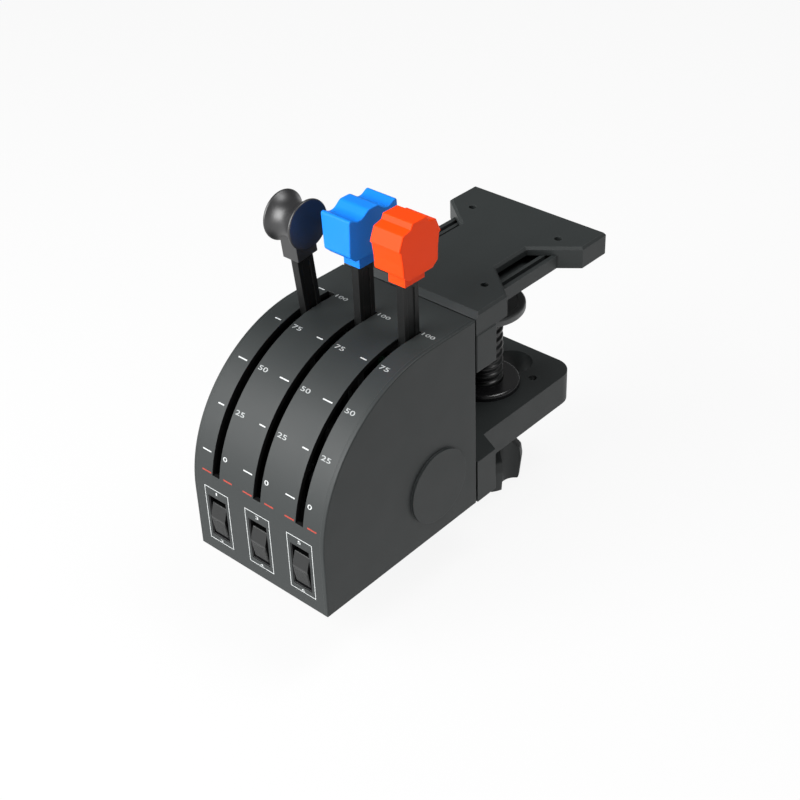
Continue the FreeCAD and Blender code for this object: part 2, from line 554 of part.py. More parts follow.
# ---------------------------------------------------------------- circuit board and data socket
board_front = f"({rear} - wall - board_stand_off - board_thickness)"
board_holes = [(f"{s}(board_width/2 - 4)", f"{socket_z} {t} (board_height/2 - 4)")
               for s in ("-", "") for t in "-+"]
slab(shell, "board_posts", "XZ", [(u, v, "3") for u, v in board_holes],
     f"{rear} - wall - board_stand_off", f"{rear} - wall/2")
board = new_body("circuit_board")
slab(board, "board", "XZ", [box("-board_width/2", "board_width/2", f"{socket_z} - board_height/2",
                                f"{socket_z} + board_height/2", "2")], board_front,
     f"{rear} - wall - board_stand_off")
slab(board, "chip", "XZ", [box("-16", "-6", f"{socket_z} + 2", f"{socket_z} + 12")],
     f"{board_front} - 1.6", board_front)
data_socket = new_body("data_socket")
slab(data_socket, "case", "XZ", [box("-data_socket_width/2 + 0.1", "data_socket_width/2 - 0.1",
                                     f"{socket_z} - data_socket_height/2 + 0.1",
                                     f"{socket_z} + data_socket_height/2 - 0.1", "0.8")],
     f"{rear} - wall - board_stand_off", f"{rear} - 0.2")
slab(data_socket, "mouth", "XZ", [box("-data_socket_width/2 + data_socket_wall",
                                      "data_socket_width/2 - data_socket_wall",
                                      f"{socket_z} - data_socket_height/2 + data_socket_wall",
                                      f"{socket_z} + data_socket_height/2 - data_socket_wall")],
     f"{rear} - wall - board_stand_off + 1.5", f"{rear} + 1", cut=True)

# ---------------------------------------------------------------- upper bracket
leg_front = f"({rear} + leg_gap)"
leg_rear = f"({rear} + leg_depth)"
plate_holes = [(f"{s}hole_spacing_across/2", v) for s in ("-", "")
               for v in ("hole_row_rear", "hole_row_rear - hole_spacing_along")]

tray = new_body("bracket_frame")
slab(tray, "tray", "XY", [box("-frame_half", "frame_half", leg_front,
                              "plate_rear_end - frame_wall - window_play")],
     "0", web_low)
slab(tray, "leg", "XY", [box(f"-{half}", half, leg_front, leg_rear)], "-leg_drop", "0")
dress(tray, "leg_edges", "Fillet", "cover_edge",
      lambda edge: lies_at(edge, "X", half) or lies_at(edge, "X", f"-{half}"))
slab(tray, "leg_pads", "XZ", [(u, v, "leg_pad_radius") for u, v in leg_screws[:2]], rear, f"{leg_front} + 1")
rows = [("hole_row_rear - hole_spacing_along + plate_boss_radius + 1", "hole_row_rear - plate_boss_radius - 1"),
        ("hole_row_rear + plate_boss_radius + 1", "plate_rear_end - 2*frame_wall - window_play")]
columns = [("rib_thickness/2", "rib_offset - rib_thickness/2"),
           ("rib_offset + rib_thickness/2", "frame_half - frame_wall")]
troughs = [box(u, v, *row) for u, v in columns + [(f"-({v})", f"-({u})") for u, v in columns] for row in rows]
slab(tray, "troughs", "XY", troughs, "frame_wall", "bracket_height", cut=True)
slab(tray, "plate_holes", "XY", [(u, v, "plate_hole_radius") for u, v in plate_holes], "-1", "bracket_height",
     cut=True)
slab(tray, "leg_screw_holes", "XZ",
     [(u, v, "bracket_screw_radius + running_clearance") for u, v in leg_screws[:2]],
     f"{rear} - 1", f"{rear} + bracket_screw_length - wall + 1", cut=True)

cover_plate = new_body("bracket_plate")
right_edge = [("plate_half_front", leg_front), ("plate_half_front", "-plate_front_taper"),
              ("plate_half_waist", "-waist_front"), ("plate_half_waist", "waist_rear"),
              ("plate_half_rear", "plate_rear_taper"), ("plate_half_rear", "plate_rear_end", "2")]
left_edge = [("-" + c[0], *c[1:]) for c in reversed(right_edge)]
slab(cover_plate, "hourglass", "XY", [right_edge + left_edge], "0", "bracket_height")
slab(cover_plate, "frame_space", "XY", [box("-frame_half - window_play", "frame_half + window_play",
                                            f"{leg_front} - 1", "plate_rear_end - frame_wall")],
     "-1", web_low, cut=True)
slab(cover_plate, "front_bevel", "YZ", [[
    (f"{leg_front} - 1", f"{top} - 1"), (f"{leg_front} + plate_rise + 1", "bracket_height + 1"),
    (f"{leg_front} - 1", "bracket_height + 1")]], "-plate_half_front - 2", "plate_half_front + 2", cut=True)
dress(cover_plate, "top_bevel", "Chamfer", "plate_bevel",
      lambda edge: lies_at(edge, "Z", "bracket_height") and not lies_at(edge, "Y", f"{leg_front} + plate_rise"))
slab(cover_plate, "plate_holes", "XY", [(u, v, "plate_hole_radius") for u, v in plate_holes], "-1",
     "bracket_height + 1", cut=True)

# ---------------------------------------------------------------- lower jaw
jaw_low = f"({jaw_top} - jaw_arm_thickness)"
jaw_leg_rear = f"({rear} + jaw_leg_depth)"
jaw = new_body("lower_jaw")
jaw_right = [(half, leg_front), (half, f"{jaw_leg_rear} - 0.5"), ("jaw_arm_half", f"{jaw_leg_rear} + 7"),
             ("jaw_arm_half", "jaw_arm_end", "jaw_corner")]
jaw_left = [(f"-({c[0]})", *c[1:]) for c in reversed(jaw_right)]
slab(jaw, "arm", "XY", [jaw_right + jaw_left], jaw_low, jaw_top)
slab(jaw, "leg", "XY", [box(f"-{half}", half, leg_front, jaw_leg_rear)], base, f"{jaw_low} + 1")
slab(jaw, "leg_pads", "XZ", [(u, v, "leg_pad_radius") for u, v in leg_screws[2:]], rear, f"{leg_front} + 1")
barrel = "(thread_radius + thread_clearance + nut_wall)"
pockets = [box("-jaw_arm_half + jaw_wall", f"-{barrel} - jaw_wall", f"{jaw_leg_rear} + 7", "-1.5", "2"),
           box("-jaw_arm_half + jaw_wall", f"-{barrel} - jaw_wall", "1.5", "jaw_arm_end - jaw_corner", "2")]
pockets += [[(f"-({c[0]})", *c[1:]) for c in reversed(p)] for p in pockets]
pockets += [box(f"-{barrel}", barrel, f"{jaw_leg_rear} + 7", f"-{barrel} - jaw_wall", "2")]
slab(jaw, "underside", "XY", pockets, f"{jaw_low} - 1", f"{jaw_top} - jaw_skin", cut=True)
slab(jaw, "nut_hole", "XY", [("0", "0", f"{barrel} + 0.1")], f"{jaw_low} - 1", f"{jaw_top} + 1", cut=True)
slab(jaw, "spare_hole", "XY", [("0", "spare_hole_back", "spare_hole_radius")], f"{jaw_low} - 1",
     f"{jaw_top} + 1", cut=True)
slab(jaw, "small_holes", "XY", [(f"{s}small_hole_offset", "small_hole_back", "small_hole_radius")
                                for s in ("-", "")], f"{jaw_low} - 1", f"{jaw_top} + 1", cut=True)
slab(jaw, "leg_screw_holes", "XZ",
     [(u, v, "bracket_screw_radius + running_clearance") for u, v in leg_screws[2:]],
     f"{rear} - 1", f"{rear} + bracket_screw_length - wall + 1", cut=True)

bracket_screws = new_body("bracket_screws")
slab(bracket_screws, "heads", "XZ", [(u, v, "2*bracket_screw_radius") for u, v in leg_screws],
     f"{rear} - wall - 1.2*bracket_screw_radius", f"{rear} - wall")
slab(bracket_screws, "shanks", "XZ", [(u, v, "bracket_screw_radius") for u, v in leg_screws],
     f"{rear} - wall", f"{rear} - wall + bracket_screw_length")

nut = new_body("screw_nut")
turned(nut, "nut", "XZ", [
    ("thread_radius + thread_clearance", jaw_low), (barrel, jaw_low), (barrel, jaw_top),
    ("nut_flange_radius", jaw_top), ("nut_flange_radius", f"{jaw_top} + nut_flange_height", "2.4"),
    ("thread_radius + thread_clearance", f"{jaw_top} + nut_flange_height")], "V_Axis")

# ---------------------------------------------------------------- clamp screw
pad_low = "(-pad_gap - pad_height)"
knob_top = f"({jaw_low} - knob_gap)"
pressure_pad = new_body("clamp_pad")
turned(pressure_pad, "pad", "XZ", [
    ("0", "-pad_gap - pad_recess"), ("pad_radius - pad_rim", "-pad_gap - pad_recess"),
    ("pad_radius - pad_rim", "-pad_gap", "0.4"), ("pad_radius", "-pad_gap", "2"), ("pad_radius", pad_low, "1.5"),
    ("pad_bearing_radius + thread_clearance", pad_low),
    ("pad_bearing_radius + thread_clearance", f"{pad_low} + pad_bearing_depth"),
    ("0", f"{pad_low} + pad_bearing_depth")], "V_Axis")

screw = new_body("clamp_screw")
turned(screw, "screw", "XZ", [
    ("0", f"{knob_top} - knob_height/2"), ("thread_radius", f"{knob_top} - knob_height/2"),
    ("thread_radius", f"{pad_low} - 0.3", "1"), ("pad_bearing_radius", f"{pad_low} - 0.3"),
    ("pad_bearing_radius", f"{pad_low} + pad_bearing_depth - 0.1"),
    ("0", f"{pad_low} + pad_bearing_depth - 0.1")], "V_Axis")

star = new_body("star_knob")
turned(star, "blank", "XZ", [
    ("0", f"{knob_top} - knob_height"), ("knob_radius - 2", f"{knob_top} - knob_height", "1.5"),
    ("knob_radius", f"{knob_top} - knob_height/2", "8"), ("knob_radius - 1", f"{knob_top} - 10", "3.5"),
    ("knob_radius - 10", knob_top, "4"), ("0", knob_top)], "V_Axis")
scallop = slab(star, "scallop", "XY", [("knob_radius + 1", "0", "knob_scallop")],
               f"{knob_top} - knob_height - 1", f"{knob_top} + 1", cut=True)
repeat_round(star, "scallops", scallop, "N_Axis", 360, int(num("knob_lobes")))
slab(star, "screw_seat", "XY", [("0", "0", "thread_radius + seat_clearance")], f"{knob_top} - knob_height/2",
     f"{knob_top} + 1", cut=True)

# ---------------------------------------------------------------- finish
doc.recompute()
os.makedirs("parts", exist_ok=True)
faults = [f"{item.Label}: {item.State}" for item in doc.Objects
          if "Invalid" in item.State or "Error" in item.State]
for body in [item for item in doc.Objects if item.TypeId == "PartDesign::Body"]:
    if body.Shape.isNull() or not body.Shape.isValid():
        faults.append(f"{body.Label}: no valid solid")
    else:
        body.Shape.exportStep(f"parts/{body.Label}.step")
if faults:
    raise RuntimeError("; ".join(faults))
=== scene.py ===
import bpy
import math
import numpy as np
from mathutils import Matrix, Vector


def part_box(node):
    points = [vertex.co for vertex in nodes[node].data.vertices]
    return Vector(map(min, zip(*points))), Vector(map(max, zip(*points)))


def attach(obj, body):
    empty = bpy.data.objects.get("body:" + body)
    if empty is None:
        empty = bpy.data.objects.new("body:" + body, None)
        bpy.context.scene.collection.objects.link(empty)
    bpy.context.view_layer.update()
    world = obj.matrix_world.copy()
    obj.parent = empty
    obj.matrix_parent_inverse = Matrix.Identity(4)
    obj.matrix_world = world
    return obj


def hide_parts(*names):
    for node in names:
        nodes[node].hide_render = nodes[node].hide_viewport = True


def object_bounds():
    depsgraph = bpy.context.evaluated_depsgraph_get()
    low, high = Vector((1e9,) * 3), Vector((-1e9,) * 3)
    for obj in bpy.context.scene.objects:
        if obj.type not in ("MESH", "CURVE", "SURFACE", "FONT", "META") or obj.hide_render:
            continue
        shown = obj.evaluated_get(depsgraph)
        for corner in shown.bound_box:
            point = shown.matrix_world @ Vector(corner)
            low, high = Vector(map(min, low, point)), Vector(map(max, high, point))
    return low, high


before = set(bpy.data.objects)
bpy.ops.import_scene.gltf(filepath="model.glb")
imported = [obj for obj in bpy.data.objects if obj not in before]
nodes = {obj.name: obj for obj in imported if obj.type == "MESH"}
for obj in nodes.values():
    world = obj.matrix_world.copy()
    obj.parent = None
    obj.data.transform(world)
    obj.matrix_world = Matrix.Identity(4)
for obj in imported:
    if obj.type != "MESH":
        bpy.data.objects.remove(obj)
solid_low, solid_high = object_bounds()

# Camera: stands to the user's right of the quadrant and well above it, looking down the
# curved face, with a long lens so that parallel edges converge only a little.
LOOK_AT = Vector((0.04427, -0.06636, -0.0063))
CAMERA_AWAY = 0.87884
camera_data = bpy.data.cameras.new("camera")
camera_data.sensor_width = 36.0
camera_data.lens = 64.749
camera_data.shift_x = -0.08886
camera_data.shift_y = -0.08245
camera_data.clip_start, camera_data.clip_end = 0.05, 20.0
camera = bpy.data.objects.new("camera", camera_data)
azimuth, elevation, roll = (math.radians(a) for a in (39.7259, 32.2435, -0.4667))
back = Vector((math.sin(azimuth) * math.cos(elevation), -math.cos(azimuth) * math.cos(elevation),
               math.sin(elevation)))
right = Vector((0, 0, 1)).cross(back).normalized()
up = back.cross(right)
turned_right = right * math.cos(roll) + up * math.sin(roll)
turned_up = back.cross(turned_right)
camera.matrix_world = Matrix((turned_right, turned_up, back)).transposed().to_4x4()
camera.location = LOOK_AT + back * CAMERA_AWAY
bpy.context.scene.collection.objects.link(camera)
bpy.context.scene.camera = camera
bpy.context.scene.view_settings.view_transform = "Standard"


# Stage: a white table top under the star knob, a white room, and two large soft lamps: a
# strong one in front on the left for the curved face, a weaker one high behind on the right.
FLOOR_PAINT = 0.70
FLOOR_GLOW = 0.90
ROOM_FILL = 0.18
LAMP_AIM = (0, -0.1, 0)


def floor_material():
    """White for the camera and for reflections, with the light and shadow of a pale paint under it."""
    mat = bpy.data.materials.new("pale_table")
    mat.use_nodes = True
    tree = mat.node_tree
    tree.nodes.clear()
    out = tree.nodes.new("ShaderNodeOutputMaterial")
    paint = tree.nodes.new("ShaderNodeBsdfDiffuse")
    paint.inputs["Color"].default_value = (FLOOR_PAINT, FLOOR_PAINT, FLOOR_PAINT, 1)
    glow = tree.nodes.new("ShaderNodeEmission")
    glow.inputs["Color"].default_value = (1, 1, 1, 1)
    glow.inputs["Strength"].default_value = 1.0
    rays = tree.nodes.new("ShaderNodeLightPath")
    seen = tree.nodes.new("ShaderNodeMath")
    seen.operation = "MAXIMUM"
    tree.links.new(rays.outputs["Is Camera Ray"], seen.inputs[0])
    tree.links.new(rays.outputs["Is Glossy Ray"], seen.inputs[1])
    share = tree.nodes.new("ShaderNodeMath")
    share.operation = "MULTIPLY"
    share.inputs[1].default_value = FLOOR_GLOW
    tree.links.new(seen.outputs[0], share.inputs[0])
    mix = tree.nodes.new("ShaderNodeMixShader")
    tree.links.new(share.outputs[0], mix.inputs[0])
    tree.links.new(paint.outputs[0], mix.inputs[1])
    tree.links.new(glow.outputs[0], mix.inputs[2])
    tree.links.new(mix.outputs[0], out.inputs["Surface"])
    return mat


FLOOR_Z = solid_low.z - 0.0005
FLOOR_HALF = 6
floor_mesh = bpy.data.meshes.new("table_top")
floor_corners = [(-FLOOR_HALF, -FLOOR_HALF, FLOOR_Z), (FLOOR_HALF, -FLOOR_HALF, FLOOR_Z),
                 (FLOOR_HALF, FLOOR_HALF, FLOOR_Z), (-FLOOR_HALF, FLOOR_HALF, FLOOR_Z)]
floor_mesh.from_pydata(floor_corners, [], [(0, 1, 2, 3)])
floor = bpy.data.objects.new("table_top", floor_mesh)
floor.data.materials.append(floor_material())
bpy.context.scene.collection.objects.link(floor)

world = bpy.data.worlds.new("room")
bpy.context.scene.world = world
world.use_nodes = True
sky = world.node_tree.nodes["Background"]
sky.inputs["Color"].default_value = (1, 1, 1, 1)
room_rays = world.node_tree.nodes.new("ShaderNodeLightPath")
room_level = world.node_tree.nodes.new("ShaderNodeMapRange")
room_level.inputs["To Min"].default_value = ROOM_FILL
room_level.inputs["To Max"].default_value = 1.0
world.node_tree.links.new(room_rays.outputs["Is Camera Ray"], room_level.inputs["Value"])
world.node_tree.links.new(room_level.outputs[0], sky.inputs["Strength"])


def lamp(name, place, size, power):
    """Square soft lamp of a width in metres at a place, turned towards the housing."""
    data = bpy.data.lights.new(name, "AREA")
    data.shape = "SQUARE"
    data.size = size
    data.energy = power
    lamp_object = bpy.data.objects.new(name, data)
    lamp_object.location = place
    lamp_object.rotation_euler = (Vector(LAMP_AIM) - Vector(place)).to_track_quat("-Z", "Y").to_euler()
    bpy.context.scene.collection.objects.link(lamp_object)


lamp("lamp_front_left", (-0.38, -1.45, 0.75), 1.4, 49)
lamp("lamp_over_right", (0.50, 0.30, 1.40), 0.7, 12)


# Housing: two side covers and a floor plate of charcoal moulded plastic screwed to the wrap,
# spark-eroded to a fine even grain, with the edges painted a little paler, partly as wear rubbed by hands
# and partly as a painted highlight.
def wire(tree, *pairs):
    """Join sockets, given as pairs of output and input."""
    for source, target in pairs:
        tree.links.new(source, target)


def moulded(name, colour, roughness, grain=2600.0, depth=0.00004, mottle=0.05, specular=0.5,
            edge=0.0004, edge_wear_and_highlight=0.5):
    """Moulded plastic.

    Two noises of Object coordinates give a faint cloudiness of colour and roughness, and the
    grain as bump.  Corners are rounded by a radius, and where the rounded normal leaves the flat
    one the colour is paler by edge_wear_and_highlight: partly wear, partly a painted highlight along the
    edges.
    """
    mat = bpy.data.materials.new(name)
    mat.use_nodes = True
    tree = mat.node_tree
    new = tree.nodes.new
    shader = tree.nodes["Principled BSDF"]
    shader.inputs["Specular IOR Level"].default_value = specular
    place = new("ShaderNodeTexCoord")
    cloud = new("ShaderNodeTexNoise")
    cloud.inputs["Scale"].default_value = 60.0
    cloud.inputs["Detail"].default_value = 5.0
    tint = new("ShaderNodeMix")
    tint.data_type = "RGBA"
    tint.inputs[6].default_value = tuple(c * (1 - mottle) for c in colour) + (1,)
    tint.inputs[7].default_value = tuple(min(1.0, c * (1 + mottle)) for c in colour) + (1,)
    rounded = new("ShaderNodeBevel")
    rounded.samples = 6
    rounded.inputs["Radius"].default_value = edge
    flat = new("ShaderNodeNewGeometry")
    agree = new("ShaderNodeVectorMath")
    agree.operation = "DOT_PRODUCT"
    wear_and_sheen = new("ShaderNodeMapRange")
    wear_and_sheen.inputs["From Min"].default_value = 0.995
    wear_and_sheen.inputs["From Max"].default_value = 0.85
    wear_and_sheen.inputs["To Max"].default_value = edge_wear_and_highlight
    paler = new("ShaderNodeMix")
    paler.data_type = "RGBA"
    paler.inputs[7].default_value = tuple(min(1.0, c * 1.25 + 0.035) for c in colour) + (1,)
    uneven = new("ShaderNodeMapRange")
    uneven.inputs["To Min"].default_value = roughness - 0.05
    uneven.inputs["To Max"].default_value = roughness + 0.05
    grit = new("ShaderNodeTexNoise")
    grit.inputs["Scale"].default_value = grain
    grit.inputs["Detail"].default_value = 3.0
    bump = new("ShaderNodeBump")
    bump.inputs["Distance"].default_value = depth
    bump.inputs["Strength"].default_value = 0.6
    wire(tree, (place.outputs["Object"], cloud.inputs["Vector"]),
         (place.outputs["Object"], grit.inputs["Vector"]),
         (cloud.outputs["Fac"], tint.inputs[0]), (cloud.outputs["Fac"], uneven.inputs["Value"]),
         (rounded.outputs[0], agree.inputs[0]), (flat.outputs["True Normal"], agree.inputs[1]),
         (agree.outputs["Value"], wear_and_sheen.inputs["Value"]), (wear_and_sheen.outputs[0], paler.inputs[0]),
         (tint.outputs[2], paler.inputs[6]), (paler.outputs[2], shader.inputs["Base Color"]),
         (uneven.outputs[0], shader.inputs["Roughness"]), (grit.outputs["Fac"], bump.inputs["Height"]),
         (rounded.outputs[0], bump.inputs["Normal"]), (bump.outputs["Normal"], shader.inputs["Normal"]))
    return mat


def finish_with(mat, *names):
    """The solids of those names get one material in each of their slots."""
    for name in names:
        data = nodes[name].data
        if not data.materials:
            data.materials.append(mat)
        for place in range(len(data.materials)):
            data.materials[place] = mat


CHARCOAL = (0.022, 0.026, 0.026)
# Edges of the covers, plate and bracket painted paler: a painted edge highlight together with wear.
charcoal = moulded("charcoal_grain", CHARCOAL, 0.52, specular=0.4, edge_wear_and_highlight=0.9)
finish_with(charcoal, "left_side_cover", "right_side_cover", "base_plate")

# Wrap: the curved front and top in one moulding, charcoal on the outside, with painted shade: the slots'
# walls and the inside are coloured black to stand for the shade in them.
CURVE = 0.095
SHOULDER = 0.0435
UNSHADED_SKIN = 0.0004
# Painted shade: the black given to the slots' walls and the wrap's inside.
SLOT_SHADE_BLACK = (0.003, 0.003, 0.003, 1)
wrap_low, wrap_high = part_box("housing_shell")
foot_z = wrap_high.z - CURVE - SHOULDER
wrap_paint_with_slot_shade = moulded("charcoal_wrap_slot_shade", CHARCOAL, 0.54, specular=0.45)


def black_inside(mat):
    """Painted shade: black wherever a point lies deeper than a thin skin under the wrap's outer surface,
    which darkens the slots' walls and the inside.

    The depth is that of a rounded corner: with f the way behind the curve's centre towards the
    front and u the way above it, both not under zero, it is CURVE less the length of (f, u).
    """
    tree = mat.node_tree
    new = tree.nodes.new
    shader = tree.nodes["Principled BSDF"]
    paint = shader.inputs["Base Color"].links[0].from_socket
    place = new("ShaderNodeTexCoord")
    offset = new("ShaderNodeVectorMath")
    offset.operation = "SUBTRACT"
    offset.inputs[1].default_value = (0, wrap_low.y + CURVE, foot_z + SHOULDER)
    turned = new("ShaderNodeVectorMath")
    turned.operation = "MULTIPLY"
    turned.inputs[1].default_value = (0, -1, 1)
    positive = new("ShaderNodeVectorMath")
    positive.operation = "MAXIMUM"
    reach = new("ShaderNodeVectorMath")
    reach.operation = "LENGTH"
    in_shade = new("ShaderNodeMath")
    in_shade.operation = "LESS_THAN"
    in_shade.inputs[1].default_value = CURVE - UNSHADED_SKIN
    shade_mix = new("ShaderNodeMix")
    shade_mix.data_type = "RGBA"
    shade_mix.inputs[7].default_value = SLOT_SHADE_BLACK
    wire(tree, (place.outputs["Object"], offset.inputs[0]), (offset.outputs[0], turned.inputs[0]),
         (turned.outputs[0], positive.inputs[0]), (positive.outputs[0], reach.inputs[0]),
         (reach.outputs["Value"], in_shade.inputs[0]), (in_shade.outputs[0], shade_mix.inputs[0]),
         (paint, shade_mix.inputs[6]), (shade_mix.outputs[2], shader.inputs["Base Color"]))


black_inside(wrap_paint_with_slot_shade)
finish_with(wrap_paint_with_slot_shade, "housing_shell")

# Scales: white ink printed on the curved face beside each slot, a dash and a number for
# every quarter of the travel, and a red dash on either side of the slot's lower end.
INK_HEIGHT = 0.00002
INK_SUNK = 0.00004
LEVER_X = (-0.0352, 0.0, 0.0352)
DASH_WIDTH = 0.0008
DASH_FROM_SLOT = 0.0056
LONG_DASH_END, SHORT_DASH_END = 0.0130, 0.0105
MARK_DEGREES = {"0": 18.1, "25": 36.2, "50": 54.2, "75": 74.0}
TOP_MARK_BEHIND_CURVE = 0.0115
FIGURE_HEIGHT = 0.0030
FIGURE_WEIGHT = 0.008
FIGURE_FROM_SLOT = 0.0047
FIGURE_WIDTH = {1: 0.0034, 2: 0.0072, 3: 0.0092}
IDLE_ALONG = 0.0600
IDLE_DASH_WIDTH = 0.0010
IDLE_SPANS = ((-0.0119, -0.0042), (0.0065, 0.0139))


def on_wrap(across, along, lift):
    """Points of the wrap, moved off it by lift.

    along is the length of the side profile from its front foot: up a straight front, then round
    a quarter circle of radius CURVE about a centre at shoulder height, then level to the rear.
    """
    turn = np.clip((along - SHOULDER) / CURVE, 0, math.pi / 2)
    level = np.maximum(along - SHOULDER - CURVE * math.pi / 2, 0)
    y = wrap_low.y + CURVE * (1 - np.cos(turn)) + level - lift * np.cos(turn)
    z = foot_z + np.minimum(along, SHOULDER) + CURVE * np.sin(turn) + lift * np.sin(turn)
    return np.stack([np.broadcast_to(across, y.shape), y, z], axis=-1)


def add_piece(name, points, faces, mat, body, smooth=False):
    """New object at the origin from an array of points and an array of faces, riding on a body."""
    data = bpy.data.meshes.new(name)
    data.from_pydata(points.reshape(-1, 3).tolist(), [], faces.tolist())
    data.polygons.foreach_set("use_smooth", np.full(len(data.polygons), smooth))
    data.update()
    data.materials.append(mat)
    piece = bpy.data.objects.new(name, data)
    bpy.context.scene.collection.objects.link(piece)
    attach(piece, body)
    return piece


def closed_sheet(upper, lower):
    """One closed skin from two sheets of points on the same grid, joined round their rim."""
    points = np.concatenate([upper.reshape(-1, 3), lower.reshape(-1, 3)])
    size = upper.shape[0] * upper.shape[1]
    index = np.arange(size).reshape(upper.shape[:2])
    quads = np.stack([index[:-1, :-1], index[1:, :-1], index[1:, 1:], index[:-1, 1:]], axis=-1)
    quads = quads.reshape(-1, 4)
    rim = np.concatenate([index[:, 0], index[-1, 1:], index[-2::-1, -1], index[0, -2:0:-1]])
    ahead = np.roll(rim, -1)
    walls = np.stack([rim, rim + size, ahead + size, ahead], axis=-1)
    return points, np.concatenate([quads, quads[:, ::-1] + size, walls])


def print_films(name, rectangles, mat):
    """Films over rectangles (low x, high x, low along, high along) as one piece of the base."""
    points, faces, count = [], [], 0
    for x_low, x_high, low, high in rectangles:
        steps = max(3, int((high - low) / 0.002) + 1)
        u, v = np.meshgrid(np.linspace(x_low, x_high, 3), np.linspace(low, high, steps), indexing="ij")
        film, quads = closed_sheet(on_wrap(u, v, INK_HEIGHT), on_wrap(u, v, -INK_SUNK))
        points.append(film)
        faces.append(quads + count)
        count += len(film)
    add_piece(name, np.concatenate(points), np.concatenate(faces), mat, "base")


def printed_ink(name, colour):
    """Screen-printed ink: slightly uneven cover, so the plastic's grain shows through."""
    mat = bpy.data.materials.new(name)
    mat.use_nodes = True
    tree = mat.node_tree
    shader = tree.nodes["Principled BSDF"]
    shader.inputs["Roughness"].default_value = 0.5
    place = tree.nodes.new("ShaderNodeTexCoord")
    grain = tree.nodes.new("ShaderNodeTexNoise")
    grain.inputs["Scale"].default_value = 2600.0
    grain.inputs["Detail"].default_value = 3.0
    cover = tree.nodes.new("ShaderNodeMix")
    cover.data_type = "RGBA"
    cover.inputs[6].default_value = tuple(0.45 * c for c in colour) + (1,)
    cover.inputs[7].default_value = tuple(colour) + (1,)
    spread = tree.nodes.new("ShaderNodeMapRange")
    spread.inputs["From Min"].default_value = 0.3
    spread.inputs["From Max"].default_value = 0.5
    bump = tree.nodes.new("ShaderNodeBump")
    bump.inputs["Distance"].default_value = 0.00002
    wire(tree, (place.outputs["Object"], grain.inputs["Vector"]),
         (grain.outputs["Fac"], spread.inputs["Value"]), (spread.outputs[0], cover.inputs[0]),
         (cover.outputs[2], shader.inputs["Base Color"]), (grain.outputs["Fac"], bump.inputs["Height"]),
         (bump.outputs["Normal"], shader.inputs["Normal"]))
    return mat


def lettering(name, text, height, width, left, along, mat):
    """Broad figures of a height and width laid over the wrap from a left end and a middle line."""
    curve = bpy.data.curves.new(name, "FONT")
    curve.body = text
    curve.size = 1.0
    curve.extrude = 0.5
    curve.offset = FIGURE_WEIGHT
    curve.resolution_u = 3
    shape = bpy.data.objects.new(name, curve)
    data = bpy.data.meshes.new_from_object(shape)
    bpy.data.objects.remove(shape)
    points = np.empty(len(data.vertices) * 3, dtype=np.float32)
    data.vertices.foreach_get("co", points)
    points = points.reshape(-1, 3).astype(float)
    low, high = points.min(axis=0), points.max(axis=0)
    scale = height / (high[1] - low[1])
    u = left + (points[:, 0] - low[0]) * width / (high[0] - low[0])
    v = along + (points[:, 1] - (low[1] + high[1]) / 2) * scale
    lift = np.where(points[:, 2] > 0, INK_HEIGHT, -INK_SUNK)
    data.vertices.foreach_set("co", on_wrap(u, v, lift).astype(np.float32).ravel())
    data.update()
    data.materials.clear()
    data.materials.append(mat)
    piece = bpy.data.objects.new(name, data)
    bpy.context.scene.collection.objects.link(piece)
    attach(piece, "base")


white_ink = printed_ink("white_ink", (0.62, 0.64, 0.64))
figure_ink = printed_ink("figure_ink", (0.40, 0.42, 0.42))
red_ink = printed_ink("red_ink", (0.40, 0.040, 0.020))
mark_along = {figure: SHOULDER + CURVE * math.radians(angle) for figure, angle in MARK_DEGREES.items()}
mark_along["100"] = SHOULDER + CURVE * math.pi / 2 + TOP_MARK_BEHIND_CURVE
dashes, figure_number = [], 0
for x in LEVER_X:
    for figure, along in mark_along.items():
        dash_end = LONG_DASH_END if figure in ("0", "50") else SHORT_DASH_END
        dashes.append((x - dash_end, x - DASH_FROM_SLOT, along - DASH_WIDTH / 2, along + DASH_WIDTH / 2))
        figure_number += 1
        lettering(f"scale_figure_{figure_number}", figure, FIGURE_HEIGHT, FIGURE_WIDTH[len(figure)],
                  x + FIGURE_FROM_SLOT, along, white_ink if figure == "0" else figure_ink)
print_films("scale_dashes", dashes, white_ink)
idle_low, idle_high = IDLE_ALONG - IDLE_DASH_WIDTH / 2, IDLE_ALONG + IDLE_DASH_WIDTH / 2
print_films("idle_dashes", [(x + left, x + right_end, idle_low, idle_high) for x in LEVER_X
                            for left, right_end in IDLE_SPANS], red_ink)

# Levers: flat bars of harder black plastic with a shallow groove along each side, a hub
# and a toothed sector moulded on.
bar_black = moulded("bar_black", (0.006, 0.0065, 0.0065), 0.42, grain=3200.0, specular=0.25,
                    edge=0.0005, edge_wear_and_highlight=0.6)
finish_with(bar_black, "lever_arm_1", "lever_arm_2", "lever_arm_3")

# Knobs: one per lever, moulded in its own shape and colour and pressed on the arm's end: a
# satin black spool, a blue bar with a waved top and a red block with facets.
spool_black = moulded("spool_black", (0.008, 0.008, 0.009), 0.42, grain=1500.0, depth=0.00001,
                      specular=1.0, edge_wear_and_highlight=0.6)
wave_blue = moulded("wave_blue", (0.006, 0.21, 0.82), 0.45, grain=2400.0, depth=0.00002, mottle=0.03,
                    specular=0.2, edge_wear_and_highlight=0.3)
facet_red = moulded("facet_red", (1.0, 0.058, 0.002), 0.45, grain=2400.0, depth=0.00002, mottle=0.03,
                    specular=0.15, edge_wear_and_highlight=0.3)
finish_with(spool_black, "spool_knob")
finish_with(wave_blue, "wave_knob")
finish_with(facet_red, "facet_knob")

